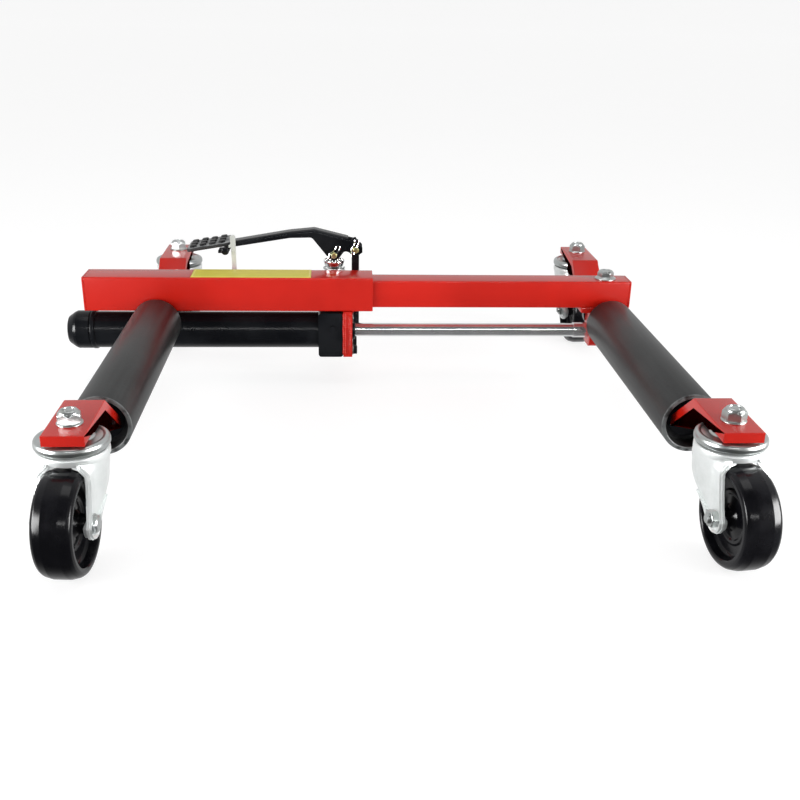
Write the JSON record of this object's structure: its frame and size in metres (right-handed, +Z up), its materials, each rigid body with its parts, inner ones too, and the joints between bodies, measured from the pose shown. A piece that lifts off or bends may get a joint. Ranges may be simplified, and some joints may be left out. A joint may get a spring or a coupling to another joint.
{
  "type": "hydraulic wheel dolly",
  "caption": "Foot-pumped wheel dolly: two free-turning roller arms on a telescoping square beam, drawn together by a ram, rolling on swivel casters",
  "frame": {"origin": "on the floor under the middle of the whole dolly", "axes": "+X along the beam from the fixed arm to the sliding arm, -Y towards the tyre side, +Z up"},
  "size_m": [0.756, 0.7958, 0.1975],
  "materials": {
    "red_paint": "gloss enamel",
    "black_gloss": "gloss enamel",
    "black_satin": "satin powder coat",
    "bright_zinc": "bright zinc plate",
    "chrome": "hard chrome",
    "gold_zinc": "yellow-passivated zinc",
    "wheel_plastic": "moulded gloss black",
    "yellow_label": "blank vinyl label",
    "grip_plate": "worn black paint",
    "bare_steel": "ground steel",
    "knob_plastic": "moulded black"
  },
  "bodies": {
    "fixed_frame": {"outer_beam": "red_paint", "outer_beam_cap": "red_paint", "label_plate": "yellow_label", "left_axle": "black_satin", "left_rear_stub": "black_satin", "left_front_bracket": "red_paint", "left_rear_bracket": "red_paint", "ram_tube": "black_gloss", "ram_end_cap": "black_gloss", "valve_block": "black_gloss", "flange_plate": "red_paint", "block_bolts": "black_gloss", "rod_gland": "black_gloss", "pump_cylinder": "black_gloss", "fulcrum_bar": "black_gloss", "latch_pivot_bolt": "bright_zinc", "left_kingpins": "bright_zinc", "left_swivel_balls": "bare_steel", "front_left_swivel_plate": "bright_zinc", "rear_left_swivel_plate": "bright_zinc"},
    "sliding_frame": {"inner_beam": "red_paint", "inner_beam_cap": "red_paint", "beam_saddle": "red_paint", "arm_bolt": "bright_zinc", "right_axle": "black_satin", "right_rear_stub": "black_satin", "right_front_bracket": "red_paint", "right_rear_bracket": "red_paint", "piston_rod": "chrome", "piston": "bare_steel", "rod_nut": "bright_zinc", "right_kingpins": "bright_zinc", "right_swivel_balls": "bare_steel", "front_right_swivel_plate": "bright_zinc", "rear_right_swivel_plate": "bright_zinc"},
    "left_roller_tube": {"left_roller": "black_satin", "left_roller_bushes": "bare_steel"},
    "right_roller_tube": {"right_roller": "black_satin", "right_roller_bushes": "bare_steel"},
    "foot_pedal": {"pedal_lever": "black_gloss", "pedal_pad": "grip_plate", "pedal_pins": "gold_zinc", "pedal_bolt": "black_gloss"},
    "plunger": {"pump_plunger": "chrome", "spring_cap": "chrome", "pump_spring": "bright_zinc"},
    "pedal_latch": {"latch_hook": "bright_zinc"},
    "release_valve": {"release_knob": "knob_plastic"},
    "front_left_caster": {"front_left_fork": "bright_zinc", "front_left_axle_bolt": "bright_zinc"},
    "front_left_caster_wheel": {"front_left_wheel": "wheel_plastic"},
    "rear_left_caster": {"rear_left_fork": "bright_zinc", "rear_left_axle_bolt": "bright_zinc"},
    "rear_left_caster_wheel": {"rear_left_wheel": "wheel_plastic"},
    "front_right_caster": {"front_right_fork": "bright_zinc", "front_right_axle_bolt": "bright_zinc"},
    "front_right_caster_wheel": {"front_right_wheel": "wheel_plastic"},
    "rear_right_caster": {"rear_right_fork": "bright_zinc", "rear_right_axle_bolt": "bright_zinc"},
    "rear_right_caster_wheel": {"rear_right_wheel": "wheel_plastic"}
  },
  "joints": [
    {"name": "beam_slide", "type": "slide", "parent": "fixed_frame", "child": "sliding_frame", "axis": [1, 0, 0], "range_m": [-0.25, 0]},
    {"name": "left_roller_spin", "type": "hinge", "parent": "fixed_frame", "child": "left_roller_tube", "pos_m": [-0.258, -0.04109, 0.088], "axis": [0, 1, 0], "continuous": true},
    {"name": "right_roller_spin", "type": "hinge", "parent": "sliding_frame", "child": "right_roller_tube", "pos_m": [0.342, -0.04109, 0.088], "axis": [0, 1, 0], "continuous": true},
    {"name": "pedal_hinge", "type": "hinge", "parent": "fixed_frame", "child": "foot_pedal", "pos_m": [0.0025, 0.20891, 0.1705], "axis": [0, 1, 0], "range_deg": [0, 33]},
    {"name": "plunger_slide", "type": "slide", "parent": "fixed_frame", "child": "plunger", "axis": [0, 0, 1], "range_m": [0, 0.0173], "deforming": ["pump_spring"]},
    {"name": "latch_swing", "type": "hinge", "parent": "fixed_frame", "child": "pedal_latch", "pos_m": [-0.161, 0.19566, 0.122], "axis": [0, 1, 0], "range_deg": [-5, 40]},
    {"name": "release_turn", "type": "hinge", "parent": "fixed_frame", "child": "release_valve", "pos_m": [-0.031, 0.23891, 0.058], "axis": [0, 1, 0], "range_deg": [0, 360]},
    {"name": "front_left_swivel", "type": "hinge", "parent": "fixed_frame", "child": "front_left_caster", "pos_m": [-0.26, -0.31109, 0.11], "axis": [0, 0, 1], "continuous": true},
    {"name": "front_left_wheel_spin", "type": "hinge", "parent": "front_left_caster", "child": "front_left_caster_wheel", "pos_m": [-0.26251, -0.347, 0.05], "axis": [0.9976, -0.0698, 0], "continuous": true},
    {"name": "rear_left_swivel", "type": "hinge", "parent": "fixed_frame", "child": "rear_left_caster", "pos_m": [-0.26, 0.36391, 0.11], "axis": [0, 0, 1], "continuous": true},
    {"name": "rear_left_wheel_spin", "type": "hinge", "parent": "rear_left_caster", "child": "rear_left_caster_wheel", "pos_m": [-0.25812, 0.32796, 0.05], "axis": [0.9986, 0.0523, 0], "continuous": true},
    {"name": "front_right_swivel", "type": "hinge", "parent": "sliding_frame", "child": "front_right_caster", "pos_m": [0.344, -0.31109, 0.11], "axis": [0, 0, 1], "continuous": true},
    {"name": "front_right_wheel_spin", "type": "hinge", "parent": "front_right_caster", "child": "front_right_caster_wheel", "pos_m": [0.34839, -0.34682, 0.05], "axis": [0.9925, 0.1219, 0], "continuous": true},
    {"name": "rear_right_swivel", "type": "hinge", "parent": "sliding_frame", "child": "rear_right_caster", "pos_m": [0.344, 0.36391, 0.11], "axis": [0, 0, 1], "continuous": true},
    {"name": "rear_right_wheel_spin", "type": "hinge", "parent": "rear_right_caster", "child": "rear_right_caster_wheel", "pos_m": [0.34526, 0.32793, 0.05], "axis": [0.9994, 0.0349, 0], "continuous": true}
  ],
  "couplings": [
    {"joint": "plunger_slide", "follows": "pedal_hinge", "m_per_rad": 0.029863}
  ]
}
